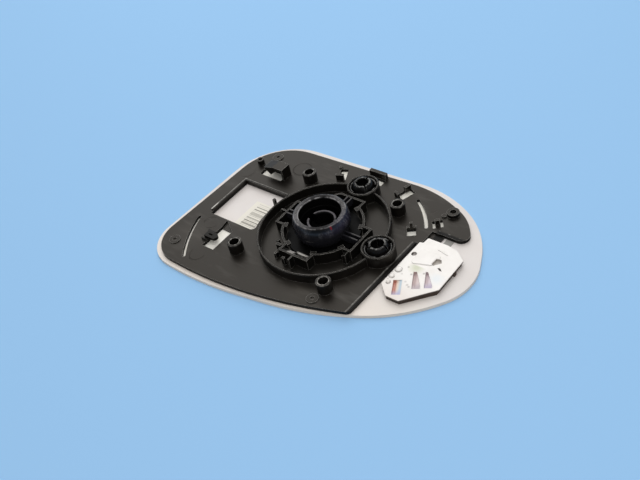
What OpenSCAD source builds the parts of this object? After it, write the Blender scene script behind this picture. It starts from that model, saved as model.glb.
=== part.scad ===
// Door mirror glass with its clip-on backing plate, lying on its mirror face.
// The pivot axis is the origin, the mirror face is z = 0, +Z runs up through the back.
// +X points to the outer end with the light module, +Y to the upper edge.

/* [Mirror] */
// Length of the mirror glass
glass_len = 192; // [186:0.5:202]
// Height of the mirror glass
glass_wid = 129.5; // [125:0.5:138]
// Thickness of the mirror glass
glass_t = 2; // [1.6:0.1:3]
// Thickness of the bonding sheet behind the glass
sheet_t = 0.3; // [0.2:0.1:0.8]
// How far the bonding sheet stays inside the plate's edge
sheet_inset = 1.2; // [0.6:0.1:2.5]

/* [Backing plate] */
// Thickness of the plate
plate_t = 2.1; // [1.6:0.1:3]
// Distance of the plate's bay edge from the pivot axis
bay_x = 50.2; // [49:0.2:52]
// Lower side of the plate's outer lobe
lobe_y = 30.7; // [29.5:0.1:32]
// Outer radius of the round rib
rib_r = 40; // [38.5:0.5:42]
// Thickness of the round rib
rib_t = 1.2; // [0.9:0.1:1.6]
// Height of the round rib over the plate
rib_h = 6.3; // [4:0.1:8]

/* [Window] */
// Left side of the large window
window_left = 78.6; // [74:0.2:80]
// Top of the large window
window_top = 15.9; // [12:0.1:18]
// Bottom of the large window
window_bottom = 18; // [14:0.1:19]
// Width of the ledge between the round rib and the window
ledge_w = 5.3; // [4.8:0.1:7]
// Width of the lip along two sides of the window
lip_w = 1.5; // [1:0.1:2]
// Height of the lip over the plate
lip_h = 1.4; // [0.8:0.1:2.5]

/* [Pivot] */
// Radius of the opening in the pivot ring
pivot_bore_r = 12.7; // [12:0.1:14]
// Radius of the ball surface on the pivot ring
ball_r = 17.1; // [16.6:0.1:18]
// Height of the ball's centre over the plate
ball_h = 11; // [10:0.1:12.5]
// Height of the pivot ring's rim over the plate
pivot_rim_h = 18; // [16:0.1:20]
// Inner radius of the collar that holds the pivot ring
collar_r = 23.7; // [22.5:0.1:24.4]
// Wall thickness of the collar
collar_t = 1.2; // [0.9:0.1:1.5]
// Height of the collar over the plate
collar_h = 7.3; // [5.5:0.1:9]
// Half width of each of the collar's four pockets
pocket_half = 9.4; // [8:0.1:10]
// Distance of a pocket's end from the pivot axis
pocket_end = 27.2; // [26.5:0.1:28.2]
// Running clearance between the pivot ring and the collar
snap_gap = 0.3; // [0.1:0.05:0.6]

/* [Jackscrew sockets] */
// Distance of each socket from the pivot axis
socket_reach = 40; // [39.6:0.1:40.6]
// Outer radius of the cup wall round a socket
cup_r = 9.9; // [9.2:0.1:10.2]
// Wall thickness of the cup
cup_t = 1.3; // [0.9:0.1:1.5]
// Height of the cup wall over the plate
cup_h = 7.7; // [6:0.1:9]
// Radius of the ball that snaps into a socket
screw_ball_r = 5.2; // [4.6:0.1:5.4]
// Wall thickness of the sprung petals
petal_t = 1.3; // [0.9:0.1:1.5]
// Width of the slots between the petals
petal_slot = 1.2; // [0.8:0.1:2]
// Height of a socket's mouth over the plate
mouth_h = 9.9; // [9:0.1:10.5]

/* [Bosses] */
// Spacing of the tubular bosses along the glass
boss_dx = 68; // [66:0.5:70]
// Spacing of the tubular bosses across the glass
boss_dy = 71.4; // [70:0.2:74]
// Middle of the boss pattern along the glass
boss_mid_x = -5.6; // [-7:0.1:-4]
// Outer radius of a boss
boss_r = 4.5; // [4:0.1:5]
// Radius of a boss's hole
boss_hole_r = 3; // [2.4:0.1:3.4]
// Height of a boss over the plate
boss_h = 7.2; // [5:0.1:9]

/* [Light module] */
// Gap between the plate's bay edge and the light module
bay_gap = 2.6; // [1.6:0.1:3.2]
// Length of the module from its inner side to its outer side
module_len = 30.4; // [28:0.2:31]
// Distance of the module's lower side from the pivot axis
module_low = 23.4; // [21:0.1:24.5]
// Distance between the module's upper side and the lobe
module_gap = 6.6; // [5.5:0.1:8]
// Height of the tray wall over the glass
tray_h = 2.6; // [2:0.1:4]
// Wall thickness of the tray
tray_t = 0.9; // [0.7:0.1:1.4]
// Thickness of the lens flange
flange_t = 0.9; // [0.7:0.1:1.4]
// Overhang of the lens flange over the tray
flange_out = 1; // [0.6:0.1:1.4]
// Depth of the prism pockets in the lens
prism_depth = 1.9; // [1.2:0.1:2.1]

/* [Label] */
// Length of the stock label
label_len = 23; // [18:0.5:28]
// Width of the stock label
label_wid = 15; // [10:0.5:18]
// Thickness of the stock label
label_t = 0.12; // [0.1:0.01:0.2]

/* [Hidden] */
$fn = 96;
eps = 0.01;
arc_steps = 14;

// Places on the plate are given for a glass of 192 by 129.5 and move with its length and height.
kx = glass_len / 192;
ky = glass_wid / 129.5;
function spread(spots) =
    [for (s = spots) [for (i = [0 : len(s) - 1]) s[i] * (i == 0 ? kx : i == 1 ? ky : 1)]];

// Heights
sheet_z = glass_t;
plate_z = glass_t + sheet_t;
top_z = plate_z + plate_t;

// Glass outline, clockwise from the lower inner corner: each corner's x as a share of the
// glass's length, and its y and radius as shares of the glass's height
glass_shape = [
    [-0.5099, -0.4772, 0.185], [-0.4938, 0.4795, 0.309], [0.2292, 0.5097, 0.571],
    [0.4203, 0.3614, 0.463], [0.5198, 0.0371, 0.247], [0.3859, -0.2486, 0.71],
    [0.1208, -0.4216, 1.467], [-0.2396, -0.5058, 1.853]];
glass_corners = [for (c = glass_shape) [c.x * glass_len, c.y * glass_wid, c.z * glass_wid]];

// Plate outline: the glass's form with a margin, cut away at the bay of the light module
bay_lean = 2;
step_x = bay_x + 5.2;
step_y = lobe_y - 11.7;
lobe_end = 0.4193 * glass_len;
lobe_len = lobe_end - step_x;
plate_shape = [
    [-0.4896, -0.4649, 0.162], [-0.4661, 0.4402, 0.255], [0.2005, 0.4757, 0.602],
    [0.3646, 0.3745, 0.309]];
plate_corners = concat(
    [for (c = plate_shape) [c.x * glass_len, c.y * glass_wid, c.z * glass_wid]],
    [[lobe_end, lobe_y, 5.5], [step_x, lobe_y, 1], [step_x, step_y, 0.6],
    [bay_x + bay_lean, step_y - 0.6, 0.8], [bay_x, -0.3313 * glass_wid, 3.5],
    [-0.0573 * glass_len, -0.4903 * glass_wid, 2.3 * glass_wid]]);

// Window
window_r = rib_r + ledge_w;
window_corner_r = 2.6;
window_x = window_left * kx;

// Small openings in the plate: x, y, turn, length and width
plate_holes = spread([[-58.2, -33.7, 90, 17.7, 9.2], [-66.7, 30.1, 0, 18.2, 7.4], [-24, 49.6, 114, 10.4, 5],
    [22.9, 51.6, 71, 9.6, 6], [45, 24.6, 33, 5.4, 5.6], [1.4, 53.6, 0, 6.2, 5.4], [53.1, 35.8, 39, 1.6, 6],
    [56.6, 38.8, 39, 1.6, 6]]);
hook_hole = plate_holes[0];
hood_hole = plate_holes[1];

// Curved slots about the pivot axis: radius, first and last angle
slot_w = 2.1;
arc_slots = [[86.4 * kx, 196.4, 219.4], [59.6 * min(kx, ky), 32.6, 56.4]];

// Upright snap hooks beside the openings: x, y, turn, width and height
hook_t = 1.5;
hook_barb = 1.2;
hooks = spread([[-22.2, 44.4, 24, 5, 4.6], [19.8, 46.8, -19, 3.6, 3.4], [21.6, 55.4, 71, 4.2, 3],
    [43.2, 27.6, 33, 1.6, 4.6], [54.8, 37.2, 41, 2.6, 3.6]]);

// Locating pips, each a low ring with a dimple: x and y
pips = spread([[-82.2, -47.3], [-75.3, 44.6], [26.2, -44.6]]);
lobe_boss = [58.6 * kx, 48.3 * ky];
end_stub = [-81.8 * kx, 34.8 * ky];
nibs = spread([[54.6, 44.6, 1.5], [-29.6, 54.6, 1.2]]);
pip_r = 3.6;
pip_h = 0.6;
pip_hole_r = 1.2;

// Cup and socket
cup_clear = 0.4;
skirt_t = 1;
skirt_r = cup_r - cup_t - cup_clear;
skirt_h = cup_h - 0.8;
socket_floor = 1;
ball_drop = 4.1;
// Rounding on top of the petals: its centre, where it leaves the ball, and the lead-in of the mouth
petal_r = screw_ball_r + petal_t;
petal_round = 0.9;
petal_drop = ball_drop - petal_round;
petal_mid = sqrt((petal_r - petal_round) * (petal_r - petal_round) - petal_drop * petal_drop);
petal_leave = mouth_h - ball_drop + petal_drop * petal_r / (petal_r - petal_round);
mouth_r = sqrt(screw_ball_r * screw_ball_r - ball_drop * ball_drop);
lead_in = 0.8;
sockets = [[0, socket_reach, 85], [socket_reach, 0, 5]];

// Pivot ring
ring_floor_z = top_z + 2.4;
flange_r = collar_r - snap_gap - 1.2;
flange_h = 2.2;
pocket_r = 3;
key_w = 1;
key_pitch = 3;
key_h = collar_h + 0.7;
// Rounding between the ball and the top of the rim: its centre, and where it leaves the ball
rim_round = 1.2;
rim_drop = pivot_rim_h - rim_round - ball_h;
rim_mid = sqrt((ball_r - rim_round) * (ball_r - rim_round) - rim_drop * rim_drop);
rim_leave = ball_h + rim_drop * ball_r / (ball_r - rim_round);
inner_r = 6.8;
inner_t = 2.5;
inner_h = 11.4;
inner_gap = 4.6;
// The bore is narrower below the top of the broken inner wall
bore_step = 0.4;
drain_r = 4.4;
latch_turn = 24.5;
latch_w = 3.4;
latch_h = 1.4;
latch_reach = 1.9;

// Light module, x and y from the same edges as the plate
tray_x = bay_x + bay_gap;
tray_end = tray_x + module_len;
tray_top = lobe_y - module_gap;
tray_z = glass_t;
flange_z = tray_z + tray_h;
tray_corners = [
    [tray_x + 1.3, -module_low + 6.2, 0.8], [tray_x + 1.8, step_y - 1.2, 0.6], [step_x + 1, step_y - 1, 0.6],
    [step_x + 1.4, tray_top, 0.8], [tray_end - 13, tray_top, 4], [tray_end - 6.4, tray_top - 1.6, 8],
    [tray_end, tray_top - 7, 1], [tray_end, -module_low + 15.4, 0.8], [tray_x + 16.3, -module_low, 0.8],
    [tray_x + 8, -module_low, 0.8]];
flange_corners = [
    [tray_x + 0.9, -module_low + 6, 0.8], [tray_x + 1.8, tray_top - 4.8, 0.8],
    [tray_x + 4, tray_top - 4.6, 0.8], [tray_x + 4.4, tray_top, 0.8], [tray_end - 13, tray_top, 4],
    [tray_end - 6, tray_top - 1.2, 8], [tray_end + flange_out, tray_top - 6.6, 0.8],
    [tray_end + flange_out, -module_low + 16.6, 0.8], [tray_x + 16.6, -module_low - flange_out * 0.6, 0.8],
    [tray_x + 8.2, -module_low - flange_out * 0.6, 0.8]];
// Prism pockets: x and y from the tray's inner lower corner, length, width and width at the top
prisms = [[10.5, 7.5, 10.9, 5.4, 5.4], [17.2, 16.9, 12.8, 5.2, 1.8], [22.9, 20.1, 12, 4.8, 1.2]];
prism_turn = -62;
// Round studs on the lens: x and y from the same corner, and radius
studs = [[3.5, 19, 2], [2.9, 13.2, 1.6], [3.9, 8.4, 1.2]];
stud_h = 0.9;
pad_h = 0.5;

function unit(v) = v / norm(v);

// Points of the round corner b between its neighbours a and c
function corner_arc(a, b, c, r) =
    let (u = unit(a - b), v = unit(c - b),
        half = acos(u * v) / 2,
        mid = b + unit(u + v) * r / sin(half),
        first = b + u * r / tan(half) - mid,
        last = b + v * r / tan(half) - mid,
        start = atan2(first.y, first.x),
        turn = (atan2(last.y, last.x) - start + 540) % 360 - 180)
    [for (i = [0 : arc_steps])
        let (a = start + turn * i / arc_steps)
        mid + r * [cos(a), sin(a)]];

// Length that the round corner b takes from each of its sides
function bite(a, b, c) =
    b.z / tan(acos(unit([a.x - b.x, a.y - b.y]) * unit([c.x - b.x, c.y - b.y])) / 2);

// Closed outline through corners given as x, y and radius. Two corners whose arcs would meet
// share the side between them.
function rounded(corners) =
    let (n = len(corners),
        side = [for (i = [0 : n - 1])
            let (a = corners[i], b = corners[(i + 1) % n])
            norm([b.x - a.x, b.y - a.y])],
        bites = [for (i = [0 : n - 1])
            bite(corners[(i + n - 1) % n], corners[i], corners[(i + 1) % n])])
    [for (i = [0 : n - 1])
        let (p = (i + n - 1) % n, q = (i + 1) % n, a = corners[p], b = corners[i], c = corners[q],
            part = min(1, side[p] / (bites[p] + bites[i]), side[i] / (bites[i] + bites[q])))
        each corner_arc([a.x, a.y], [b.x, b.y], [c.x, c.y], b.z * part)];

// The same corners moved inwards by a margin, for a list that runs clockwise
function inset(corners, margin) =
    let (n = len(corners))
    [for (i = [0 : n - 1])
        let (a = corners[(i + n - 1) % n], b = corners[i], c = corners[(i + 1) % n],
            u = unit([b.x - a.x, b.y - a.y]), v = unit([c.x - b.x, c.y - b.y]),
            turn = u.x * v.y - u.y * v.x,
            move = ([u.y, -u.x] + [v.y, -v.x]) * margin / (1 + u * v))
        [b.x + move.x, b.y + move.y, max(0.3, b.z + (turn < 0 ? -margin : margin))]];

// A ring standing on z = 0 with both top edges broken
module round_wall(r_out, t, h) {
    c = t * 0.3;
    r_in = r_out - t;
    rotate_extrude()
        polygon([[r_in, 0], [r_out, 0], [r_out, h - c], [r_out - c, h], [r_in + c, h], [r_in, h - c]]);
}

// Places children at a hole or hook given as x, y and turn
module at(spot) {
    translate([spot.x, spot.y, 0]) rotate(spot[2]) children();
}

// Block centred in x and y, standing on z = 0
module block(l, w, h) {
    translate([-l / 2, -w / 2, 0]) cube([l, w, h]);
}

// Points on an arc about a centre, without its last point
function arc(mid, r, from, to, steps) =
    [for (i = [0 : steps - 1]) let (a = from + (to - from) * i / steps) mid + r * [cos(a), sin(a)]];

// Curved slot about the pivot axis, with round ends
module arc_slot_area(r, from, to) {
    hub = [0, 0];
    polygon(concat(
        arc(hub, r + slot_w / 2, from, to, 2 * arc_steps),
        arc(r * [cos(to), sin(to)], slot_w / 2, to, to + 180, arc_steps / 2),
        arc(hub, r - slot_w / 2, to, from, 2 * arc_steps),
        arc(r * [cos(from), sin(from)], slot_w / 2, from + 180, from + 360, arc_steps / 2)));
}

// Large window: square corners on the left, an arc about the pivot axis on the right
module window_area(grow) {
    r = window_r - grow;
    top = window_top + grow;
    bottom = window_bottom + grow;
    left = window_x + grow;
    first = 180 - asin(top / r);
    last = 180 + asin((bottom - window_corner_r * 1.5) / r);
    arc = [for (i = [0 : arc_steps]) let (a = first + (last - first) * i / arc_steps) r * [cos(a), sin(a)]];
    corner = [-sqrt(r * r - bottom * bottom), -bottom];
    polygon(concat([[-left, -bottom], [-left, top]], arc,
        corner_arc(arc[arc_steps], corner, [-left, -bottom], window_corner_r)));
}

module hook(w, h) {
    translate([-w / 2, hook_t / 2, 0]) rotate([90, 0, 90]) linear_extrude(w)
        polygon([[0, 0], [0, h - 1.4], [hook_barb, h - 1.4], [0, h], [-hook_t, h], [-hook_t, 0]]);
}

// Sprung catch that lies across the left opening: two prongs with a common round nose
module claw() {
    reach = 9;
    w = 4.6;
    slit = 1.2;
    lift = 1.2;
    t = 2;
    nose = reach - w / 2;
    translate([hook_hole.x - hook_hole[4] / 2 - 2.2, hook_hole.y - 1.6, top_z]) {
        translate([0, 0, lift]) linear_extrude(t)
            polygon(concat([[0, -w / 2]], arc([nose, 0], w / 2, -90, 90, arc_steps),
                [[nose, w / 2], [0, w / 2], [0, slit / 2], [nose - 1.4, slit / 2], [nose - 1.4, -slit / 2],
                [0, -slit / 2]]));
        translate([0, -w / 2, -eps]) cube([2, w, lift + t + eps]);
        translate([-1.6, -w / 2 - 1.4, -eps]) cube([4.4, 1, 1.6]);
        translate([-1.6, w / 2 + 0.6, -eps]) cube([5.4, 1, 2.2]);
    }
}

// Hood over the upper left opening: a roof on a back wall and an end wall, with a pointed tongue
module hood() {
    t = 1.2;
    h = 8.4;
    fall = 2.4;
    depth = 7.6;
    right = hood_hole.x + hood_hole[3] / 2 + 2.1;
    flat = right - 8;
    left = right - 16;
    back = hood_hole.y + hood_hole[4] / 2 + t;
    translate([0, back, top_z - eps]) rotate([90, 0, 0]) {
        linear_extrude(depth)
            polygon([[left, h - fall], [flat, h], [right, h], [right, h - t], [flat, h - t],
                [left, h - fall - t]]);
        linear_extrude(t) polygon([[left, 0], [left, h - fall], [flat, h], [right, h], [right, 0]]);
        translate([0, 0, depth - t]) linear_extrude(t)
            polygon([[left, h - fall - t / 2], [flat, h - t / 2], [right - 3, h - t / 2], [left + 5, 1.6]]);
    }
    translate([right - t, back - depth, top_z - eps]) cube([t, depth, h]);
}

module boss() {
    difference() {
        rotate_extrude() {
            square([boss_r, boss_h - 0.5]);
            square([boss_r - 0.5, boss_h]);
            translate([boss_r - 0.5, boss_h - 0.5]) circle(0.5, $fn = 24);
        }
        translate([0, 0, eps]) cylinder(r = boss_hole_r, h = boss_h);
    }
}

// The two bars of the collar's pockets, with one round corner
module pocket_area(grow) {
    end = pocket_end + grow;
    half = pocket_half + grow;
    square([2 * end, 2 * half], center = true);
    polygon(concat([[half, end], [half, -end], [-half, -end]],
        corner_arc([-half, -end], [-half, end], [half, end], pocket_r + grow)));
}

module collar() {
    translate([0, 0, top_z - eps]) linear_extrude(collar_h + eps) difference() {
        union() {
            circle(collar_r + collar_t);
            pocket_area(collar_t);
        }
        circle(collar_r);
        pocket_area(0);
    }
    // Sloping land inside the outer wall of two pockets: turn, first and last place along the wall
    for (land = [[270, -1, pocket_half + eps], [0, -pocket_half - eps, -4.6]])
        rotate(land[0]) translate([pocket_end + eps, land.y, top_z - eps]) rotate([90, 0, 180])
            mirror([0, 0, 1]) linear_extrude(land.z - land.y)
                polygon([[0, collar_h], [2.6, collar_h - 1.4], [2.6, 0], [0, 0]]);
    // Latches over the pivot ring's flange
    for (a = [0 : 90 : 270], side = [-1, 1]) rotate(a + side * latch_turn)
        translate([collar_r - latch_reach, -latch_w / 2, top_z + collar_h - latch_h - 0.3])
            cube([latch_reach + collar_t / 2, latch_w, latch_h]);
    // Stiffening ribs outside the two free pockets
    for (a = [180, 270]) rotate(a)
        translate([pocket_end + collar_t - eps, -key_w / 2, top_z - eps]) cube([4, key_w, collar_h]);
    // Stubs beside the lower pocket
    for (spot = [[-14.5, -24, 3.2, 6.2], [-18.2, -20.6, 1.6, 5], [-5.4, -31, 2, 5.4]])
        translate([spot.x, spot.y, top_z - eps]) block(spot.z, 1.6, spot[3]);
    translate([-13.6, -27.2, top_z - eps]) block(1.4, 4.8, 3.6);
}

module plate_area() {
    difference() {
        polygon(rounded(plate_corners));
        window_area(0);
        for (h = plate_holes) translate([h.x, h.y]) rotate(h[2]) square([h[3], h[4]], center = true);
        for (s = arc_slots) arc_slot_area(s[0], s[1], s[2]);
    }
}

module mirror_glass() {
    color([0.9, 0.87, 0.86]) linear_extrude(glass_t) polygon(rounded(glass_corners));
}

module bonding_sheet() {
    color([0.87, 0.87, 0.78]) translate([0, 0, sheet_z]) {
        linear_extrude(sheet_t) difference() {
            polygon(rounded(inset(plate_corners, sheet_inset)));
            window_area(sheet_inset);
        }
        // Tail of the sheet under the lobe
        translate([step_x + 0.382 * lobe_len, lobe_y - 4.4, 0]) cube([0.195 * lobe_len, 8, sheet_t]);
    }
}

module stock_label() {
    color([0.95, 0.94, 0.9])
        translate([-window_r - label_wid - sheet_inset / 4, window_top - 9.9 - label_len, sheet_z])
            linear_extrude(label_t) square([label_wid, label_len]);
}

module backing_plate() {
    color([0.27, 0.26, 0.25]) {
        difference() {
            union() {
                translate([0, 0, plate_z]) linear_extrude(plate_t) plate_area();
                translate([0, 0, top_z - eps]) round_wall(rib_r, rib_t, rib_h + eps);
                // Stop wall at the upper edge
                translate([-8 * kx, 56.8 * ky, top_z - eps]) cube([12.2, 2.4, 4]);
            }
            for (s = sockets) translate([s.x, s.y, top_z]) cylinder(r = cup_r - cup_t, h = rib_h + 1);
            // Sunk triangle between the window and the left opening
            translate([0, 0, top_z - 1.2]) linear_extrude(2)
                polygon([[hook_hole.x - 5.6, -window_bottom - 0.6], [hook_hole.x + 4.2, hook_hole.y + 8.8],
                    [hook_hole.x - 4.6, hook_hole.y + 8.8]]);
        }
        for (s = sockets) translate([s.x, s.y, top_z - eps]) round_wall(cup_r, cup_t, cup_h + eps);
        collar();
        for (sx = [-1, 1], sy = [-1, 1])
            translate([boss_mid_x + sx * boss_dx / 2, sy * boss_dy / 2, top_z - eps]) boss();
        // Lip along the left side and the top of the window
        translate([-window_x - lip_w, -window_bottom + 2, top_z - eps])
            cube([lip_w, window_bottom + window_top - 2 + lip_w, lip_h + eps]);
        translate([-window_x - lip_w, window_top, top_z - eps])
            cube([window_x - window_r + lip_w + 2, lip_w, lip_h + eps]);
        claw();
        hood();
        for (k = hooks) translate([0, 0, top_z - eps]) at(k) hook(k[3], k[4]);
        for (p = pips) translate([p.x, p.y, top_z - eps]) difference() {
            cylinder(r = pip_r, h = pip_h);
            cylinder(r = pip_hole_r, h = pip_h + 1);
        }
        // Small boss on the lobe
        translate([lobe_boss.x, lobe_boss.y, top_z - eps]) difference() {
            cylinder(r = 3.7, h = 2.4);
            translate([0, 0, 0.6]) cylinder(r = 1.9, h = 4);
        }
        // Peg on the ledge and stub at the inner end
        translate([-rib_r - 2.7, 3.4, top_z - eps]) cube([1.6, 1.7, 7.9]);
        translate([end_stub.x, end_stub.y, top_z - eps]) difference() {
            cylinder(r = 2.3, h = 3.8);
            translate([0, 0, 1]) cylinder(r = 1.3, h = 4);
        }
        // Foot of the slim hook and low nibs by the lobe's boss and the upper edge
        translate([0, 0, top_z - eps]) at(hooks[3]) block(5.6, 1.5, 1.3);
        for (nib = nibs) translate([nib.x, nib.y, top_z - eps]) cylinder(r = nib.z, h = 0.9);
        // Thin tongue in the corner of the bay
        translate([step_x - eps, lobe_y - 4.2, plate_z]) cube([8, 4.4, 0.8]);
    }
}

module pivot_ring() {
    color([0.1, 0.11, 0.15]) {
        difference() {
            rotate_extrude() translate([0, top_z]) difference() {
                union() {
                    intersection() {
                        translate([0, ball_h]) circle(ball_r);
                        union() {
                            square([ball_r + 1, rim_leave]);
                            square([rim_mid, pivot_rim_h]);
                            translate([rim_mid, pivot_rim_h - rim_round]) circle(rim_round);
                        }
                    }
                    square([flange_r, flange_h]);
                }
                translate([-1, ring_floor_z - top_z]) square([pivot_bore_r - bore_step + 1, pivot_rim_h]);
                translate([-1, inner_h + 0.3]) square([pivot_bore_r + 1, pivot_rim_h]);
                translate([-ball_r - 2, -1]) square([ball_r + 2, 2 * ball_r + 2]);
                translate([pivot_bore_r, pivot_rim_h]) rotate(45) square(1, center = true);
            }
            translate([0, 0, top_z - 1]) cylinder(r = drain_r, h = 8);
        }
        // Broken inner wall
        translate([0, 0, ring_floor_z - eps]) difference() {
            round_wall(inner_r + inner_t, inner_t, inner_h - (ring_floor_z - top_z));
            translate([-inner_r - 4, -inner_gap / 2, 0.6]) cube([2 * inner_r + 8, inner_gap, inner_h]);
        }
        // Pairs of keys that reach into three of the collar's pockets
        for (a = [0, 90, 180], side = [-1, 1]) rotate(a)
            translate([ball_r - 2.6, side * key_pitch / 2 - key_w / 2, top_z])
                cube([pocket_end - snap_gap - ball_r + 2.6, key_w, key_h]);
    }
}

// Snap-in socket: a skirt, and three sprung petals round a ball seat
module jackscrew_socket(turn) {
    color([0.12, 0.12, 0.13]) {
        difference() {
            round_wall(skirt_r, skirt_t, skirt_h);
            for (a = [0, 120, 240]) rotate(turn + 60 + a)
                translate([0, -1.5, skirt_h - 2.6]) cube([skirt_r + 1, 3, 4]);
        }
        cylinder(r = skirt_r - eps, h = socket_floor);
        difference() {
            rotate_extrude() difference() {
                intersection() {
                    translate([0, mouth_h - ball_drop]) circle(petal_r);
                    union() {
                        square([petal_r + 1, petal_leave]);
                        square([petal_mid, mouth_h]);
                        translate([petal_mid, mouth_h - petal_round]) circle(petal_round);
                    }
                }
                translate([0, mouth_h - ball_drop]) circle(screw_ball_r);
                polygon([[0, mouth_h - 1.6 * lead_in], [mouth_r + 0.2, mouth_h - 1.6 * lead_in],
                    [mouth_r + lead_in, mouth_h + eps], [0, mouth_h + eps]]);
                translate([-20, -1]) square([20, 30]);
            }
            for (a = [0, 120, 240]) rotate(turn + a)
                translate([0, -petal_slot / 2, socket_floor + 1.4])
                    cube([screw_ball_r + 4, petal_slot, mouth_h]);
        }
    }
}

module jackscrew_socket_upper() {
    translate([sockets[0].x, sockets[0].y, top_z]) jackscrew_socket(sockets[0].z);
}

module jackscrew_socket_lower() {
    translate([sockets[1].x, sockets[1].y, top_z]) jackscrew_socket(sockets[1].z);
}

// Open tray bonded to the glass, with a grip nub on its outer side
module signal_tray() {
    color([0.2, 0.18, 0.17]) translate([0, 0, tray_z]) {
        difference() {
            linear_extrude(tray_h) polygon(rounded(tray_corners));
            translate([0, 0, tray_t]) linear_extrude(tray_h) polygon(rounded(inset(tray_corners, tray_t)));
        }
        translate([tray_end - eps, tray_top - 16.4, 0]) cube([1.3, 2, tray_h - 0.4]);
    }
}

// One wedge-shaped pocket, deepest along its lower side and narrower at its upper end
module prism_pocket(l, w, top_w) {
    intersection() {
        translate([-l / 2, 0, 0]) rotate([90, 0, 90]) linear_extrude(l)
            polygon([[-w / 2, 0.1], [w / 2, 0.1], [-w / 2 + 1, -prism_depth], [-w / 2, -prism_depth]]);
        translate([0, 0, -prism_depth - 1]) linear_extrude(prism_depth + 2)
            polygon([[-l / 2, -w / 2], [l / 2, -w / 2], [l / 2, w / 2], [-l / 2, top_w - w / 2]]);
    }
}

// Low round stud
module stud(r) {
    translate([0, 0, -eps]) rotate_extrude()
        polygon([[0, 0], [r, 0], [r * 0.94, stud_h * 0.45], [r * 0.76, stud_h * 0.8], [r * 0.45, stud_h],
            [0, stud_h]]);
}

module signal_lens() {
    lens_z = flange_z + flange_t;
    color([0.96, 0.95, 0.93]) {
        difference() {
            union() {
                translate([0, 0, flange_z]) linear_extrude(flange_t) polygon(rounded(flange_corners));
                // Solid light guide under the flange, inside the tray
                translate([0, 0, tray_z + tray_t]) linear_extrude(tray_h - tray_t + eps)
                    polygon(rounded(inset(tray_corners, tray_t + snap_gap)));
                // Raised pad
                translate([0, 0, lens_z - eps]) linear_extrude(pad_h + eps)
                    polygon(rounded([[tray_x + 6.4, 2.6, 1.5], [tray_x + 6.4, 15.4, 3],
                        [tray_x + 20, 15.4, 3], [tray_x + 18.2, 6.4, 2]]));
            }
            for (p = prisms) translate([tray_x + p.x, -module_low + p.y, lens_z])
                rotate(prism_turn) prism_pocket(p[2], p[3], p[4]);
            // Pin hole, slanted recess and slit
            translate([tray_x + 4.2, 9.8, flange_z - 0.4]) cylinder(r = 1.6, h = 4);
            translate([tray_x, 0, flange_z - 0.3]) linear_extrude(4)
                polygon([[17.4, 7.4], [17.7, 11.9], [20.5, 12.7], [22, 10.4], [18.7, 6.8]]);
            translate([tray_x, 0, flange_z - 0.3]) linear_extrude(4)
                polygon([[21.8, 6.3], [23.2, 7], [25.3, 5.2], [23.8, 5.1]]);
        }
        for (s = studs) translate([tray_x + s.x, -module_low + s.y, lens_z]) stud(s.z);
        translate([tray_x + 17.9, 18, lens_z - eps]) rotate(-12) block(7.2, 0.6, 0.3);
    }
}

mirror_glass();
bonding_sheet();
stock_label();
backing_plate();
pivot_ring();
jackscrew_socket_upper();
jackscrew_socket_lower();
signal_tray();
signal_lens();
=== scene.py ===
import math

import bpy
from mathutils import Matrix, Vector

# Door mirror glass, lying face down, dressed in Blender. Places and lengths in the dictionaries are
# in mm, from the pivot's axis and the mirror's face, apart from those of the lamps and the camera.
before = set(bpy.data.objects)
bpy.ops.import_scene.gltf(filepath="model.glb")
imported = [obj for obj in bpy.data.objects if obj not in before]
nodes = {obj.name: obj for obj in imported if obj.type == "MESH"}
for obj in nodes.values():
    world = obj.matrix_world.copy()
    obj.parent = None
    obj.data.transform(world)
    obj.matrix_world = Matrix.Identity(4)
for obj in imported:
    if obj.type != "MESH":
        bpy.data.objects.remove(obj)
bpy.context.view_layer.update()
scene = bpy.context.scene
mm = 0.001
print("frame loaded:", len(nodes), "nodes")


# A value or colour inside a material. Sums on it become Math nodes.
class Strand:
    def __init__(self, paint, socket):
        self.paint = paint
        self.socket = socket

    def reckon(self, operation, *values):
        return self.paint.node("ShaderNodeMath", {"operation": operation}, dict(enumerate(values)))

    def __add__(self, other):
        return self.reckon("ADD", self, other)

    __radd__ = __add__

    def __sub__(self, other):
        return self.reckon("SUBTRACT", self, other)

    def __rsub__(self, other):
        return self.reckon("SUBTRACT", other, self)

    def __mul__(self, other):
        return self.reckon("MULTIPLY", self, other)

    __rmul__ = __mul__


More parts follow.
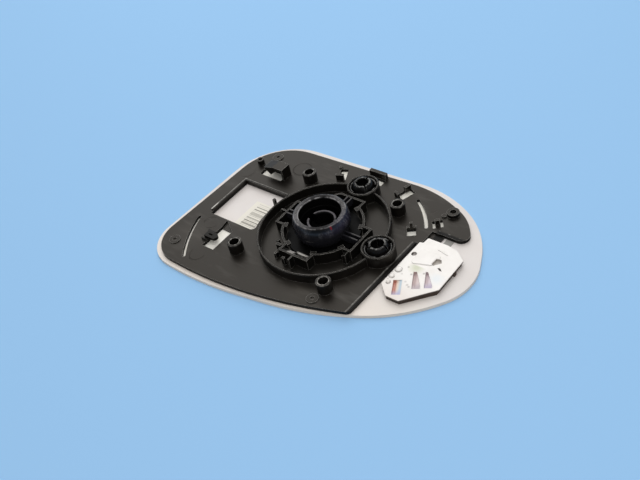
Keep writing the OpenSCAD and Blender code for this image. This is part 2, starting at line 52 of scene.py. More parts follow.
# One procedural finish, built round a Principled shader
class Paint:
    sockets = {"colour": "Base Color", "roughness": "Roughness", "metallic": "Metallic", "normal": "Normal",
               "coat": "Coat Weight", "coatRoughness": "Coat Roughness", "specular": "Specular IOR Level",
               "tint": "Specular Tint"}

    def __init__(self, name):
        self.material = bpy.data.materials.new(name)
        self.material.use_nodes = True
        self.tree = self.material.node_tree
        self.tree.nodes.clear()
        self.output = self.tree.nodes.new("ShaderNodeOutputMaterial")
        self.shader = self.tree.nodes.new("ShaderNodeBsdfPrincipled")
        self.tree.links.new(self.shader.outputs[0], self.output.inputs[0])

    def feed(self, socket, value):
        if isinstance(value, Strand):
            self.tree.links.new(value.socket, socket)
        elif hasattr(value, "__len__") and len(value) == 3 and socket.type == "RGBA":
            socket.default_value = (*value, 1.0)
        else:
            socket.default_value = value

    # Any node: its settings first, then the values or links of its sockets
    def node(self, kind, settings=None, values=None, out=0):
        made = self.tree.nodes.new(kind)
        for key, setting in (settings or {}).items():
            if key == "stops":
                ramp = made.color_ramp
                while len(ramp.elements) > 1:
                    ramp.elements.remove(ramp.elements[-1])
                for i, (place, colour) in enumerate(setting):
                    stop = ramp.elements[0] if i == 0 else ramp.elements.new(place)
                    stop.position = place
                    stop.color = (*colour, 1.0)
            else:
                setattr(made, key, setting)
        for key, value in (values or {}).items():
            self.feed(made.inputs[key], value)
        return Strand(self, made.outputs[out])

    def place(self, stretch=(1, 1, 1)):
        spot = self.node("ShaderNodeTexCoord", out="Object")
        if stretch == (1, 1, 1):
            return spot
        return self.node("ShaderNodeMapping", None, {"Vector": spot, "Scale": stretch})

    def noise(self, scale, detail, rough=0.5, stretch=(1, 1, 1)):
        values = {"Vector": self.place(stretch), "Scale": scale, "Detail": detail, "Roughness": rough}
        return self.node("ShaderNodeTexNoise", None, values)

    # 0 below low, 1 above high, straight between
    def fade(self, value, low=0.0, high=1.0):
        values = {"Value": value, "From Min": low, "From Max": high}
        return self.node("ShaderNodeMapRange", {"clamp": True}, values)

    # The same for a length, with low and high in mm
    def fadeMm(self, value, low, high):
        return self.fade(value, low * mm, high * mm)

    def mix(self, factor, first, second):
        return self.node("ShaderNodeMix", {"data_type": "RGBA"}, {0: factor, 6: first, 7: second}, out=2)

    def vector(self, operation, *values, out=0):
        return self.node("ShaderNodeVectorMath", {"operation": operation}, dict(enumerate(values)), out=out)

    def split(self, vector):
        parts = self.node("ShaderNodeSeparateXYZ", None, {0: vector})
        return [Strand(self, parts.socket.node.outputs[i]) for i in range(3)]

    def size(self, value):
        return self.node("ShaderNodeMath", {"operation": "ABSOLUTE"}, {0: value})

    def most(self, first, *others):
        for other in others:
            first = self.node("ShaderNodeMath", {"operation": "MAXIMUM"}, {0: first, 1: other})
        return first

    # The sum of masks that lie apart
    def together(self, masks):
        return sum(masks[1:], masks[0])

    # 1 on faces that look up, 0 on upright ones, -1 on faces that look down
    def upward(self):
        return self.split(self.node("ShaderNodeNewGeometry", out="Normal"))[2]

    # Distance from an upright line through a point
    def away(self, centre):
        flat = self.vector("MULTIPLY", self.place(), (1, 1, 0))
        return self.vector("DISTANCE", flat, (centre[0] * mm, centre[1] * mm, 0), out="Value")

    # 1 near a point, fading to 0 at the radius
    def spot(self, centre, radius, core):
        return self.fadeMm(self.away(centre), radius, core * radius)

    # 1 inside a flat ring about a point, fading over its soft edge
    def ringMark(self, centre, radius, width):
        return self.fadeMm(self.size(self.away(centre) - radius * mm), width, 0.3 * width)

    # The strongest of several rings about a point, each with its radius, width and strength
    def ringMarks(self, centre, rings):
        marks = [self.ringMark(centre, radius, width) * strength for radius, width, strength in rings]
        return self.most(*marks)

    # 1 inside a box of half sizes about a middle, fading over the soft border
    def patch(self, middle, half, border):
        sides = [self.fadeMm(self.size(axis - centre * mm), reach, reach - border)
                 for axis, centre, reach in zip(self.split(self.place()), middle, half)]
        return sides[0] * sides[1] * sides[2]

    # Several such boxes
    def patches(self, boxes, border):
        return self.together([self.patch(middle, half, border) for middle, half in boxes])

    # Normal that rounds the edges over a radius
    def softNormal(self, radius):
        return self.node("ShaderNodeBevel", {"samples": 6}, {"Radius": radius * mm})

    # That normal, and a mask that is 1 on outer edges but not in corners
    def softEdge(self, radius, sharp=0.8):
        soft = self.softNormal(radius)
        plain = self.node("ShaderNodeNewGeometry", out="Normal")
        same = self.vector("DOT_PRODUCT", soft, plain, out="Value")
        free = self.node("ShaderNodeAmbientOcclusion", {"samples": 4}, {"Distance": 1 * mm}, out="AO")
        return soft, self.fade(same, 0.995, sharp) * self.fade(free, 0.6, 0.85)

    # Height in mm
    def bump(self, height, normal=None):
        values = {"Height": height * mm, "Distance": 1.0}
        if normal is not None:
            values["Normal"] = normal
        return self.node("ShaderNodeBump", None, values)

    def finish(self, **values):
        for key, value in values.items():
            self.feed(self.shader.inputs[self.sockets[key]], value)
        return self.material

    # One more shader, laid over what is there where the mask is 1
    def layer(self, mask):
        under = self.output.inputs[0].links[0].from_socket
        self.shader = self.tree.nodes.new("ShaderNodeBsdfPrincipled")
        blend = self.tree.nodes.new("ShaderNodeMixShader")
        self.feed(blend.inputs[0], mask)
        self.tree.links.new(under, blend.inputs[1])
        self.tree.links.new(self.shader.outputs[0], blend.inputs[2])
        self.tree.links.new(blend.outputs[0], self.output.inputs[0])


# A colour picked as 8-bit levels, as the shaders want it
def srgb(*levels):
    return tuple((v / 255 / 12.92 if v <= 10 else ((v / 255 + 0.055) / 1.055) ** 2.4) for v in levels)


# Fine-grained black ABS, a little warm, its edges painted paler as wear and painted highlight
plateLook = {
    "colour": srgb(24, 21, 18), "dark": srgb(15, 13, 11), "inner": srgb(19, 18, 16),
    "edge": srgb(212, 209, 202), "mark": srgb(38, 35, 31), "tint": (1.0, 0.91, 0.79), "rough": 0.38,
    "gloss": 0.33, "innerGloss": 0.28, "dullGloss": 0.11,
    "bevel": 0.26, "grain": 0.02, "waves": 0.04, "markDepth": 0.2,
    # heights of the flat top, of the crests of ribs and cups, and of the rims of the bosses
    "top": 4.4, "crest": 9.0, "bossTop": 11.0,
    # radii of the inside of the round rib, of its inner wall, and of all that has a crest
    "ribInner": 38.9, "ribWall": 39.4, "ribsReach": 50,
    "bosses": [(-39.6, -35.7), (28.4, -35.7), (-39.6, 35.7), (28.4, 35.7)], "bossReach": 5.2,
    "bossRims": [(3.2, 0.45, 1.0), (4.2, 0.35, 0.5)],  # radius, width and strength of each painted highlight ring
    "pinMarks": [((-72, -25), 5), ((-60, -50), 5), ((-86, 24), 6), ((-52, 42), 6), ((44, 47), 4),
                 ((5, 30), 3), ((-33, -12), 4)],
    "sheenSpots": [((14.8, -42.5), 12), ((-76, -40), 16)], "sheenTone": srgb(52, 49, 45),
    "greaseAndSheen": (-2.4, -25.9, 11.0), "highlightSize": (3.2, 1.9, 1.4), "highlightColour": srgb(176, 172, 168),
    "lobe": (57.5, 30.7, 2.6),  # start and lower side of the lobe, and width of the painted shade along its edge
    # the bay's edge leans: where it crosses y = 0, its slope, its upper end, and how far in its painted
    # highlight line lies
    "bay": (51.6, 0.0326, 18.4, 2.0), "bayFrom": 40,
    # the window's lip and the claw: middles and half sizes of the painted highlights and of the painted
    # shade
    "shining": [((-79.75, 0.7, 5.7), (0.55, 17, 0.5)), ((-60, 17.1, 5.7), (20, 0.4, 0.5)),
                ((-79.75, -13, 5.7), (0.55, 3.6, 0.5))],
    "shadedPatches": [((-79.0, 0.7, 5.8), (0.6, 17, 0.6)), ((-60, 16.4, 5.8), (20, 0.6, 0.6)),
                  ((-61.5, -35.2, 7.4), (8, 4.6, 2.6))],
}


# Painted shade along the lobe's lower edge in place of a rolled edge, and painted glints above it
def lobeMarks(paint, look, wear):
    x, y = paint.split(paint.place())[:2]
    start, low, shadeWidth = look["lobe"]
    lobe = paint.fadeMm(x, start, start + 1)
    lobeShade = paint.fadeMm(y, low + shadeWidth, low + shadeWidth - 0.8) * lobe
    glint = paint.fadeMm(paint.size(y - (low + shadeWidth) * mm), 0.7, 0.3)
    return lobeShade, glint * paint.fade(wear, 0.54, 0.64) * lobe


# Painted shade on the inner wall of the round rib, most of all at its upper side, and on the crests of ribs
# and bosses
def ribMarks(paint, look, wall):
    y, z = paint.split(paint.place())[1:]
    fromPivot = paint.away((0, 0))
    ribSide = wall * paint.fadeMm(paint.size(fromPivot - look["ribWall"] * mm), 0.35, 0.25)
    ribSide = ribSide * (0.8 + paint.fadeMm(y, 4, 18) * 0.2)
    ribs = paint.fadeMm(fromPivot, look["ribsReach"], look["ribsReach"] - 1)
    bosses = paint.together([paint.spot(centre, look["bossReach"], 0.9) for centre in look["bosses"]])
    crest = paint.fadeMm(z, look["crest"], look["crest"] + 0.6)
    return ribSide, (1 - wall) * crest * paint.most(ribs, bosses)


# A painted highlight line along the bay's leaning edge, and painted shade, black, outside of it
def bayMarks(paint, look, flatTop, wornAndLit):
    x, y = paint.split(paint.place())[:2]
    crossing, slope, end, inset = look["bay"]
    bayEnd = paint.fadeMm(y, end + 0.6, end)
    offBay = (x - y * slope - crossing * mm) * bayEnd
    inBay = bayEnd * paint.fadeMm(x, look["bayFrom"], look["bayFrom"] + 1) * flatTop
    line = paint.fadeMm(paint.size(offBay + inset * mm), 0.7, 0.3) * (0.24 + wornAndLit * 0.34)
    return line * inBay, paint.fadeMm(offBay, 0.5 - inset, 0.8 - inset) * inBay


def makePlatePaint():
    look = plateLook
    paint = Paint("plateAbs")
    soft, edge = paint.softEdge(look["bevel"], 0.88)
    cloud = paint.noise(45, 4, 0.6)
    grain = paint.noise(2400, 2, 0.6)
    flow = paint.noise(160, 3, 0.55, stretch=(0.25, 1, 1))
    wear = paint.noise(420, 4, 0.6)
    z = paint.split(paint.place())[2]
    wall = paint.fade(paint.size(paint.upward()), 0.7, 0.3)
    top = look["top"]
    flatTop = paint.fadeMm(z, top - 0.2, top - 0.05) * paint.fadeMm(z, top + 0.2, top + 0.05)
    colour = paint.mix(paint.fade(cloud, 0.35, 0.68), look["dark"], look["colour"])
    colour = paint.mix(paint.fade(flow, 0.55, 0.85) * 0.06, colour, look["edge"])
    # lighter patches on the flat top, a painted sheen
    for centre, radius in look["sheenSpots"]:
        sheenSpot = paint.spot(centre, radius, 0.1) * flatTop
        colour = paint.mix(sheenSpot * (0.4 + paint.fade(flow, 0.4, 0.7) * 0.6), colour, look["sheenTone"])
    # upright faces are painted darker, a painted shade
    colour = paint.mix(wall * 0.35, colour, look["dark"])
    # edges are painted pale, partly wear and partly painted highlight, and paler still on the rims of the
    # four bosses, inside and outside, a painted highlight
    wornAndLit = paint.fade(wear, 0.35, 0.65)
    rims = paint.together([paint.ringMarks(centre, look["bossRims"]) for centre in look["bosses"]])
    rims = rims * paint.fadeMm(z, look["bossTop"], look["bossTop"] + 0.3)
    rims = rims * (paint.fade(wear, 0.46, 0.6) * 0.6 + 0.08)
    bright = paint.most(edge * (0.45 + wornAndLit * 0.55), rims)
    colour = paint.mix(bright, colour, look["edge"])
    # only parts of each ejector pin mark show
    marks = paint.together([paint.ringMark(centre, radius, 0.4) for centre, radius in look["pinMarks"]])
    marks = marks * flatTop * paint.fade(cloud, 0.46, 0.58)
    colour = paint.mix(marks * 0.5, colour, look["mark"])
    height = grain * look["grain"] + cloud * look["waves"] - marks * look["markDepth"]
    rough = look["rough"] + (cloud - 0.5) * 0.16 - edge * 0.14
    normal = paint.bump(height, soft)
    paint.finish(colour=colour, roughness=rough, normal=normal, specular=look["gloss"], tint=look["tint"])
    # a little darker and duller inside the round rib, a painted shade, with a painted highlight on the
    # collar
    paint.layer(paint.fadeMm(paint.away((0, 0)), look["ribInner"], look["ribInner"] - 0.3))
    greaseAndSheen = paint.patch(look["greaseAndSheen"], look["highlightSize"], 0.7) * paint.fade(wear, 0.3, 0.5)
    colour = paint.mix(greaseAndSheen * 0.8, paint.mix(bright, look["inner"], look["edge"]), look["highlightColour"])
    paint.finish(colour=colour, roughness=rough - 0.04, normal=normal, specular=look["innerGloss"],
                 tint=look["tint"])
    # painted shade, black and dull: round the outline and the openings, along the lobe's edge, on the rib's
    # inner wall and the crests, and beside the painted highlight lines of the bay and the window's lip; the
    # glints and highlight lines are painted in the edge colour
    side = wall * paint.fadeMm(z, top + 0.1, top - 0.05)
    lobeShade, glint = lobeMarks(paint, look, wear)
    ribSide, ridge = ribMarks(paint, look, wall)
    dull = paint.most(lobeShade, ribSide, ridge * 0.5) * (1 - paint.most(edge, rims)) * (1 - greaseAndSheen)
    bayLine, bayBlack = bayMarks(paint, look, flatTop, wornAndLit)
    shining = paint.fade(paint.patches(look["shining"], 0.3) * (0.3 + wornAndLit * 0.34))
    shining = paint.most(shining, bayLine)
    shadedPatches = paint.fade(paint.patches(look["shadedPatches"], 0.3)) * 0.85
    paint.layer(paint.most(dull, shadedPatches, shining, bayBlack, side))
    colour = paint.mix(paint.most(glint * flatTop * 0.6, shining), look["inner"], look["edge"])
    return paint.finish(colour=colour, roughness=rough, normal=normal, specular=look["dullGloss"])


# Blue-black acetal, glossy, with grease smears, dust and painted sheen about its rim, a painted violet
# reflection on its right side, and one red paint mark
ringLook = {
    "colour": srgb(33, 33, 37), "violet": srgb(60, 57, 84), "smear": srgb(108, 107, 112),
    "dustAndSheen": srgb(176, 174, 174), "deep": srgb(9, 9, 9), "wornAndLit": srgb(104, 101, 104),
    "tint": (1.0, 0.94, 0.88), "rough": 0.2, "deepRough": 0.4, "gloss": 0.33, "deepGloss": 0.05,
    "bevel": 0.4, "grain": 0.01,
    # heights of the flange, the broken wall and the rim, and the radii of that wall and the bore
    "flange": 7.6, "wallTop": 15.6, "rim": 21.6, "wallReach": 11.0, "bore": 12.9,
    # from none to all: the grease smears and painted sheen up the ball, the painted violet reflection to
    # the right, the rim by height and by radius, and the dull, dark layer of painted shade up to the rim
    "band": (15, 20), "violetFrom": (10, 17), "rimFrom": (20.4, 21.4), "rimReach": (15.4, 14.2),
    "dullFrom": (19.6, 20.6),
    "dustAndSheenLine": (0.78, 0.62), "dustAndSheenFrom": (4, 12),  # dust and painted sheen thin towards a slanted line through the middle
    "lines": [(13.0, 0.35, 1.0), (15.3, 0.45, 0.6)], "linesFrom": (20, 20.6),  # radius, width and strength of each painted highlight line
    "greaseAndSheen": (0.6, -22.0, 6.2), "highlightSize": (4.6, 1.4, 2.0), "highlightColour": srgb(208, 204, 198),
    "mark": (14.1, -7.4, 21.3), "markSize": (0.6, 0.6, 2.4), "red": srgb(176, 44, 62),
}


def makeRingPaint():
    look = ringLook
    paint = Paint("ringAcetal")
    soft = paint.softNormal(look["bevel"])
    smear = paint.noise(190, 5, 0.62, stretch=(1, 1, 0.35))
    speck = paint.noise(900, 3, 0.6)
    dustAndSheen = paint.noise(1300, 3, 0.7)
    x, y, z = paint.split(paint.place())
    fromPivot = paint.away((0, 0))
    greaseAndSheen = paint.fade(smear, 0.44, 0.66) * paint.fade(speck, 0.3, 0.6)
    band = paint.fadeMm(z, *look["band"])
    top = paint.fadeMm(z, *look["rimFrom"]) * paint.fadeMm(fromPivot, *look["rimReach"])
    # painted violet reflection to the right, and grease smears with painted sheen up the ball
    colour = paint.mix(paint.fadeMm(x, *look["violetFrom"]) * band * 0.5, look["colour"], look["violet"])
    colour = paint.mix(greaseAndSheen * band * 0.75, colour, look["smear"])
    # dust and a painted sheen lie on the left and right of the rim, with painted highlight lines round its
    # inside and outside
    lineX, lineY = look["dustAndSheenLine"]
    sides = paint.fadeMm(paint.size(x * lineX + y * lineY), *look["dustAndSheenFrom"])
    colour = paint.mix(paint.fade(dustAndSheen, 0.46, 0.6) * top * (0.05 + sides * 0.3), colour, look["dustAndSheen"])
    lines = paint.ringMarks((0, 0), look["lines"]) * paint.fadeMm(z, *look["linesFrom"])
    lines = lines * paint.fade(smear, 0.38, 0.56)
    colour = paint.mix(lines * 0.85, colour, look["dustAndSheen"])
    # the paint mark is an upright dab with a ragged edge
    dab = paint.vector("SUBTRACT", paint.place(), tuple(v * mm for v in look["mark"]))
    dab = paint.vector("DIVIDE", dab, tuple(v * mm for v in look["markSize"]))
    dab = paint.vector("LENGTH", dab, out="Value")
    colour = paint.mix(paint.fade(dab + (speck - 0.5) * 0.9, 1.1, 0.8), colour, look["red"])
    rough = look["rough"] + greaseAndSheen * band * 0.3 + (speck - 0.5) * 0.1 + top * 0.12
    normal = paint.bump((speck + dustAndSheen * top) * look["grain"], soft)
    paint.finish(colour=colour, roughness=rough, normal=normal, specular=look["gloss"], tint=look["tint"])
    # painted shade, dull and dark, in the bore, on the flange and on the rim's top, with a painted
    # highlight on the upward tops of the broken wall
    bore = paint.fadeMm(fromPivot, look["bore"] + 0.2, look["bore"])
    bore = bore * paint.fadeMm(z, look["rim"], look["rim"] - 0.4)
    flange = paint.fadeMm(z, look["flange"] + 1, look["flange"])
    rim = paint.fadeMm(z, *look["dullFrom"]) * (1 - sides * 0.8) * (1 - lines) * 0.75
    paint.layer(paint.most(rim, bore, flange))
    wallTop = paint.fadeMm(z, look["wallTop"], look["wallTop"] + 0.15)
    wallTop = wallTop * paint.fadeMm(fromPivot, look["wallReach"] + 0.6, look["wallReach"])
    wallTop = wallTop * paint.fade(paint.upward(), 0.5, 0.9) * paint.fade(smear, 0.3, 0.5)
    colour = paint.mix(wallTop, look["deep"], look["wornAndLit"])
    # a painted highlight on the flange's edge
    flangeHighlight = paint.patch(look["greaseAndSheen"], look["highlightSize"], 0.9) * paint.fade(speck, 0.3, 0.5)
    colour = paint.mix(flangeHighlight * 0.9, colour, look["highlightColour"])
    return paint.finish(colour=colour, roughness=look["deepRough"], normal=normal,
                        specular=look["deepGloss"])


# Plain black acetal of the two sockets, with painted highlights on its edges and its upward tops, and a
# painted shade, dull and dark, on its sides and below the height of the skirt
socketLook = {
    "colour": srgb(16, 15, 15), "edge": srgb(176, 175, 170), "rough": 0.17, "gloss": 0.26,
    "dullGloss": 0.12, "bevel": 0.3, "grain": 0.06, "skirt": 10.9,
}


def makeSocketPaint():
    look = socketLook
    paint = Paint("socketAcetal")
    soft, edge = paint.softEdge(look["bevel"], 0.86)
    speck = paint.noise(700, 3, 0.6)
    wornAndLit = paint.noise(420, 3)
    z = paint.split(paint.place())[2]
    up = paint.upward()
    # painted glints on the tops that face up
    glint = paint.fade(up, 0.6, 0.9) * paint.fade(wornAndLit, 0.5, 0.6)
    bright = paint.most(edge * (0.1 + paint.fade(speck, 0.42, 0.6) * 0.9), glint * 0.4)
    colour = paint.mix(bright, look["colour"], look["edge"])
    rough = look["rough"] + (wornAndLit - 0.5) * 0.2
    normal = paint.bump(speck * look["grain"], soft)
    paint.finish(colour=colour, roughness=rough, normal=normal, specular=look["gloss"])
    # painted shade below the skirt and on the sides
    low = paint.fadeMm(z, look["skirt"], look["skirt"] - 0.8)
    paint.layer(paint.most(low, paint.fade(up, 0.9, 0.6) * (1 - edge) * 0.75))
    colour = paint.mix(edge * 0.2, look["colour"], look["edge"])
    return paint.finish(colour=colour, roughness=rough + 0.2, normal=normal, specular=look["dullGloss"])


# Pale protective paint over the silver, with the mirror itself on the face below
glassLook = {
    "colour": srgb(229, 223, 219), "warm": srgb(222, 214, 209), "low": srgb(240, 230, 219),
    "side": srgb(240, 237, 232), "silver": (0.86, 0.87, 0.87), "rough": 0.34, "polish": 0.32,
    "grain": 0.01, "waves": 0.02, "lowFrom": (-5, -38), "sideTop": (1.9, 1.4),
}


def makeGlassPaint():
    look = glassLook
    paint = Paint("mirrorGlass")
    y, z = paint.split(paint.place())[1:]
    up = paint.upward()
    face = paint.fade(up, -0.9, -0.95)
    side = paint.fade(up, 0.6, 0.3) * (1 - face)
    cloud = paint.noise(28, 3, 0.55)
    speck = paint.noise(700, 2)
    colour = paint.mix(paint.fade(cloud, 0.4, 0.7), look["colour"], look["warm"])
    # painted light: paler and warmer towards the near side, at low y
    colour = paint.mix(paint.fadeMm(y, *look["lowFrom"]) * 0.8, colour, look["low"])
    colour = paint.mix(side * paint.fadeMm(z, *look["sideTop"]), colour, look["side"])
    colour = paint.mix(face, colour, look["silver"])
    rough = look["rough"] + (cloud - 0.5) * 0.12 - face * look["polish"]
    height = (speck * look["grain"] + cloud * look["waves"]) * (1 - face)
    return paint.finish(colour=colour, roughness=rough, metallic=face, normal=paint.bump(height))


# Thin foam sheet that bonds plate and glass
sheetLook = {
    "colour": srgb(250, 247, 238), "shade": srgb(240, 236, 224), "rough": 0.6, "grain": 0.02,
    "tabGrey": srgb(120, 118, 116), "tab": (64, 31.9),  # the free tab lies right of this x and below this y
}


def makeSheetPaint():
    look = sheetLook
    paint = Paint("bondingSheet")
    foam = paint.noise(1500, 2)
    cloud = paint.noise(120, 3)
    colour = paint.mix(paint.fade(cloud, 0.35, 0.7), look["colour"], look["shade"])
    # the free tab is grey
    x, y = paint.split(paint.place())[:2]
    left, upper = look["tab"]
    tab = paint.fadeMm(x, left, left + 0.5) * paint.fadeMm(y, upper, upper - 0.3)
    colour = paint.mix(tab * 0.85, colour, look["tabGrey"])
    return paint.finish(colour=colour, roughness=look["rough"], normal=paint.bump(foam * look["grain"]))


# Cream label: middle y, half thickness and darkness of each printed bar
labelLook = {
    "colour": srgb(236, 231, 219), "ink": srgb(92, 88, 74), "rough": 0.48, "grain": 0.01, "barsFrom": -57.2,
    "bars": [(4.3, 0.22, 0.35), (2.9, 0.15, 0.3), (1.5, 0.36, 0.75), (-0.8, 0.42, 0.85), (-2.1, 0.14, 0.5),
             (-4.5, 1.35, 0.45), (-6.5, 0.16, 0.6), (-8.3, 0.6, 0.55), (-9.6, 0.18, 0.4), (-10.9, 0.4, 0.9),
             (-12.1, 0.2, 0.6), (-13.6, 0.75, 0.7), (-15.2, 0.2, 0.5)],
}


def makeLabelPaint():
    look = labelLook
    paint = Paint("stockLabel")
    x, y = paint.split(paint.place())[:2]
    fibre = paint.noise(900, 3)
    ink = paint.together([paint.fadeMm(paint.size(y - middle * mm), half + 0.08, half - 0.08) * dark
                          for middle, half, dark in look["bars"]])
    ink = ink * paint.fadeMm(x, look["barsFrom"], look["barsFrom"] + 0.2) * paint.fade(fibre, 0.15, 0.45)
    colour = paint.mix(ink, look["colour"], look["ink"])
    return paint.finish(colour=colour, roughness=look["rough"], normal=paint.bump(fibre * look["grain"]))


# Brown moulding of the light module's tray
trayLook = {
    "colour": srgb(72, 59, 52), "shade": srgb(52, 43, 38), "edge": srgb(112, 98, 90),
    "rough": 0.5, "gloss": 0.2, "bevel": 0.3, "grain": 0.02,
}


def makeTrayPaint():
    look = trayLook
    paint = Paint("trayPlastic")
    soft, edge = paint.softEdge(look["bevel"])
    grain = paint.noise(1800, 2)
    cloud = paint.noise(90, 3)
    colour = paint.mix(paint.fade(cloud, 0.35, 0.7), look["colour"], look["shade"])
    # edges painted paler, a painted highlight
    colour = paint.mix(edge * 0.5, colour, look["edge"])
    normal = paint.bump(grain * look["grain"], soft)
    return paint.finish(colour=colour, roughness=look["rough"], normal=normal, specular=look["gloss"])


# Milky light guide over the tray
lensLook = {
    "colour": srgb(252, 248, 243), "shade": srgb(238, 233, 227), "low": srgb(228, 215, 206),
    "lowFrom": (-8, -22), "rough": 0.22, "coat": 0.3, "coatRough": 0.1, "bevel": 0.4, "waves": 0.06,
    "ripples": 0.012, "top": 5.5, "side": srgb(72, 59, 52), "sideTop": 5.35,
    # prism pockets: middle, half length, colours across the slope, and the colour of its lower end, all of
    # them painted reflected and refracted light
    "pocketTurn": 62, "pocketLength": 7.0, "pocketWidth": 3.1, "slopeWidth": 2.7,
    "pockets": [
        ((63.3, -15.9), 5.2, (srgb(204, 146, 130), srgb(254, 238, 220), srgb(208, 228, 240)),
         srgb(196, 196, 228)),
        ((70.0, -6.5), 4.8, (srgb(200, 180, 178), srgb(236, 220, 218), srgb(244, 230, 226)),
         srgb(208, 196, 200)),
        ((75.7, -3.3), 4.4, (srgb(204, 188, 190), srgb(238, 226, 230), srgb(246, 236, 240)),
         srgb(210, 200, 218)),
    ],
    # recess, slit and pin hole: centre, radius and colour of the bottom, darkened as a painted shade
    "sunk": [((72.4, 9.8), 4.2, srgb(186, 179, 171)), ((76.4, 6.0), 2.4, srgb(150, 144, 142)),
             ((57.0, 9.8), 2.0, srgb(176, 171, 167))],
    # faint grey marks of painted shade: centre, radius and darkness
    "shadeMarks": [((64.7, -4.3), 1.0, 0.6), ((70.5, -0.6), 1.0, 0.6), ((60.2, -0.3), 0.9, 0.6),
                ((54.4, -7.4), 0.7, 0.6), ((54.9, -12.9), 0.7, 0.6), ((59.8, -6.3), 0.9, 0.3),
                ((64.9, -10.4), 1.0, 0.35), ((67.1, -12.0), 1.1, 0.45), ((68.6, -12.8), 1.0, 0.5)],
    "shadeGrey": srgb(132, 126, 120),
    # studs: centre and radius, each with a grey line of painted shade round its foot
    "studs": [((56.3, -4.4), 2.0), ((55.7, -10.2), 1.6), ((56.7, -15.0), 1.2)],
    # soft tints: centre, radius and colour, and the y that they end at; the greenish one is a painted shade
    # below the pad's edge
    "tints": [((64.4, 1.4), 5.5, srgb(214, 216, 192)), ((78.6, -0.8), 5.5, srgb(240, 243, 244))],
    "tintsUpTo": (3.4, 2.4),
}


# The painted reflected and refracted colours along the slope of a prism pocket, and the mask of the pocket
def pocketMarks(paint, look, centre, halfLength, shades, foot):
    near = paint.vector("SUBTRACT", paint.place(), (centre[0] * mm, centre[1] * mm, 0))
    turn = (0, 0, math.radians(look["pocketTurn"]))
    near = paint.node("ShaderNodeMapping", None, {"Vector": near, "Rotation": turn})
    along, across = paint.split(near)[:2]
    left, middle, right = shades
    stops = [(0.0, left), (0.2, left), (0.42, middle), (0.75, right)]
    slope = paint.fadeMm(across, -look["slopeWidth"], look["slopeWidth"])
    slope = paint.node("ShaderNodeValToRGB", {"stops": stops}, {0: slope})
    slope = paint.mix(paint.fadeMm(along, 0.1 * halfLength, 0.9 * halfLength), slope, foot)
    length, width = look["pocketLength"], look["pocketWidth"]
    inside = paint.fadeMm(paint.size(along), length + 0.2, length - 0.2)
    return slope, inside * paint.fadeMm(paint.size(across), width + 0.1, width - 0.1)


def makeLensPaint():
    look = lensLook
    paint = Paint("lensAcrylic")
    y, z = paint.split(paint.place())[1:]
    soft = paint.softNormal(look["bevel"])
    cloud = paint.noise(120, 3)
    ripple = paint.noise(380, 3, 0.6)
    colour = paint.mix(paint.fade(cloud, 0.4, 0.75) * 0.6, look["colour"], look["shade"])
    colour = paint.mix(paint.fadeMm(y, *look["lowFrom"]) * 0.6, colour, look["low"])
    tinted = paint.fadeMm(y, *look["tintsUpTo"])
    for centre, radius, tint in look["tints"]:
        colour = paint.mix(paint.spot(centre, radius, 0.2) * tinted, colour, tint)
    # the brown tray shows through the lower part of its side
    wall = paint.fade(paint.size(paint.upward()), 0.6, 0.3)
    side = wall * paint.fadeMm(z, look["sideTop"], look["sideTop"] - 0.15)
    colour = paint.mix(side, colour, look["side"])
    deep = paint.fadeMm(z, look["top"] - 0.05, look["top"] - 0.35)
    for pocket in look["pockets"]:
        slope, inside = pocketMarks(paint, look, *pocket)
        colour = paint.mix(inside * deep, colour, slope)
    for centre, radius, bottom in look["sunk"]:
        colour = paint.mix(paint.spot(centre, radius, 0.9) * deep, colour, bottom)
    for centre, radius, darkness in look["shadeMarks"]:
        colour = paint.mix(paint.spot(centre, radius, 0.2) * (1 - deep) * darkness, colour, look["shadeGrey"])
    for centre, radius in look["studs"]:
        foot = paint.ringMark(centre, radius + 0.1, 0.35) * paint.fade(ripple, 0.4, 0.55)
        colour = paint.mix(foot * 0.8, colour, look["shadeGrey"])
    rough = look["rough"] + (cloud - 0.5) * 0.1
    normal = paint.bump(cloud * look["waves"] + ripple * look["ripples"], soft)
    return paint.finish(colour=colour, roughness=rough, normal=normal, coat=look["coat"],
                        coatRoughness=look["coatRough"])


looks = {
    "mirror_glass": makeGlassPaint(), "bonding_sheet": makeSheetPaint(), "stock_label": makeLabelPaint(),
    "backing_plate": makePlatePaint(), "pivot_ring": makeRingPaint(), "signal_tray": makeTrayPaint(),
    "signal_lens": makeLensPaint(),
}
looks["jackscrew_socket_upper"] = looks["jackscrew_socket_lower"] = makeSocketPaint()
for nodeName, material in looks.items():
    slots = nodes[nodeName].data.materials
    slots.clear()
    slots.append(material)
print("finishes made:", len(looks))

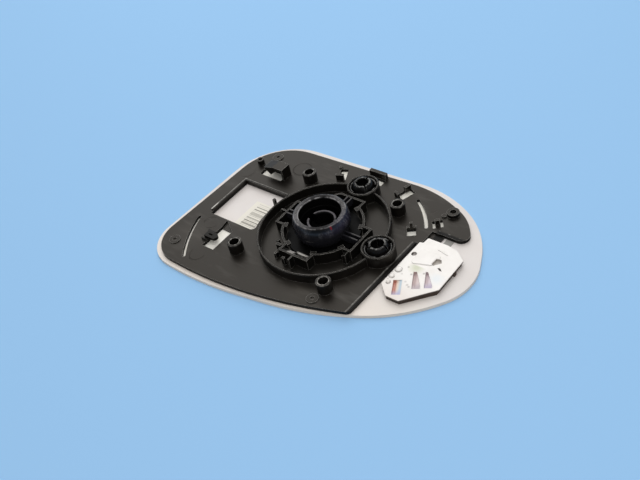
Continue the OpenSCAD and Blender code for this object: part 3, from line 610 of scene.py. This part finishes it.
# Pale floor: camera and mirror-like surfaces see the pale blue, the object gets only neutral light back
floorLook = {"size": 6000, "drop": 0.05, "seen": srgb(158, 203, 244), "bounce": (0.5, 0.5, 0.5),
             "rough": 0.9, "gloss": 0.1}
bpy.ops.object.select_all(action="DESELECT")
bpy.ops.mesh.primitive_plane_add(size=floorLook["size"] * mm, location=(0, 0, -floorLook["drop"] * mm))
floor = bpy.context.object
floor.name = "floor"
floorPaint = Paint("floorPaint")
rays = floorPaint.node("ShaderNodeLightPath", out="Is Camera Ray")
mirrored = Strand(floorPaint, rays.socket.node.outputs["Is Glossy Ray"])
straight = Strand(floorPaint, rays.socket.node.outputs["Is Transmission Ray"])
seen = floorPaint.fade(rays + mirrored + straight)
floorColour = floorPaint.mix(seen, floorLook["bounce"], floorLook["seen"])
floorPaint.finish(colour=floorColour, roughness=floorLook["rough"], specular=floorLook["gloss"])
floor.data.materials.append(floorPaint.material)
print("floor laid")

# Soft lamps: place and size in metres, and power in watts. The big one stands behind the left end,
# where the plate mirrors it.
lamps = {
    "softbox": ((-0.62, 0.7, 0.86), 1.45, 7.6),
    "top": ((0.1, 0.0, 1.3), 0.9, 5.0),
    "fill": ((0.7, -0.5, 0.8), 1.0, 2.2),
}
for lampName, (place, size, power) in lamps.items():
    lamp = bpy.data.lights.new(lampName, "AREA")
    lamp.shape = "DISK"
    lamp.size = size
    lamp.energy = power
    stand = bpy.data.objects.new(lampName, lamp)
    stand.location = place
    stand.rotation_euler = (-Vector(place)).to_track_quat("-Z", "Y").to_euler()
    scene.collection.objects.link(stand)

# Plain white sky round them
skyLook = {"colour": (1.0, 1.0, 1.0, 1.0), "strength": 0.34}
world = bpy.data.worlds.new("studio")
scene.world = world
world.use_nodes = True
sky = world.node_tree.nodes["Background"]
sky.inputs["Color"].default_value = skyLook["colour"]
sky.inputs["Strength"].default_value = skyLook["strength"]
print("lamps set:", len(lamps))

# Camera at the photograph's angle: place and clipping in metres, turn about X, Y and Z in degrees
cameraLook = {"place": (0.285288, -0.260444, 0.345159), "turn": (47.652, 10.637, 38.519),
              "lens": 49.082, "film": 36, "shiftY": -0.00625, "clipStart": 0.01}
camera = bpy.data.cameras.new("photoCamera")
camera.sensor_width = cameraLook["film"]
camera.lens = cameraLook["lens"]
camera.shift_y = cameraLook["shiftY"]
camera.clip_start = cameraLook["clipStart"]
tripod = bpy.data.objects.new("photoCamera", camera)
tripod.location = cameraLook["place"]
tripod.rotation_euler = [math.radians(angle) for angle in cameraLook["turn"]]
scene.collection.objects.link(tripod)
scene.camera = tripod
scene.view_settings.view_transform = "Standard"
print("camera set")
